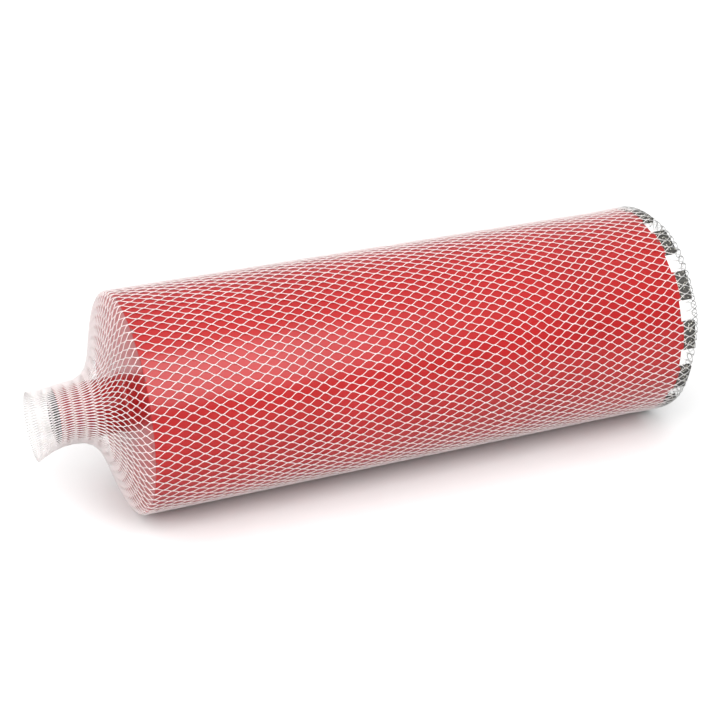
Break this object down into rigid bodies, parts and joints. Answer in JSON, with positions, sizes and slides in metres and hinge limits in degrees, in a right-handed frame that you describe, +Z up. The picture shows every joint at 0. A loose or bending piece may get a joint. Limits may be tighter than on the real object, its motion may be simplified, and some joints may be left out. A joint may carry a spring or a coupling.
{
  "type": "diamond core drill bit in netting sleeve",
  "caption": "Diamond core drill bit lying on its side, with a threaded hub and segmented rim, packed in a pull-off sleeve of white plastic netting.",
  "frame": {"origin": "centre of the bounding box at the ground, under the middle of the sleeve", "axes": "+X along the bit's axis towards the diamond teeth, +Z up"},
  "size_m": [0.4988, 0.1666, 0.1656],
  "materials": {
    "red_enamel": "gloss",
    "bare_steel": "satin",
    "diamond_grit_metal": "matte",
    "white_netting": "satin"
  },
  "bodies": {
    "core_bit": {"barrel_tube": "red_enamel", "head_plate": "red_enamel", "head_weld": "bare_steel", "threaded_hub": "red_enamel", "hub_weld": "red_enamel", "diamond_segment_01": "diamond_grit_metal", "diamond_segment_02": "diamond_grit_metal", "diamond_segment_03": "diamond_grit_metal", "diamond_segment_04": "diamond_grit_metal", "diamond_segment_05": "diamond_grit_metal", "diamond_segment_06": "diamond_grit_metal", "diamond_segment_07": "diamond_grit_metal", "diamond_segment_08": "diamond_grit_metal", "diamond_segment_09": "diamond_grit_metal", "diamond_segment_10": "diamond_grit_metal", "diamond_segment_11": "diamond_grit_metal", "diamond_segment_12": "diamond_grit_metal", "diamond_segment_13": "diamond_grit_metal", "segment_weld_seams": "red_enamel"},
    "netting": {"net_shoulder": "white_netting", "net_sleeve": "white_netting", "net_end_curl": "white_netting"}
  },
  "joints": [
    {"name": "sleeve_slide", "type": "slide", "parent": "core_bit", "child": "netting", "axis": [-1, 0, 0], "range_m": [0, 0.5], "deforming": ["net_end_curl"]}
  ]
}
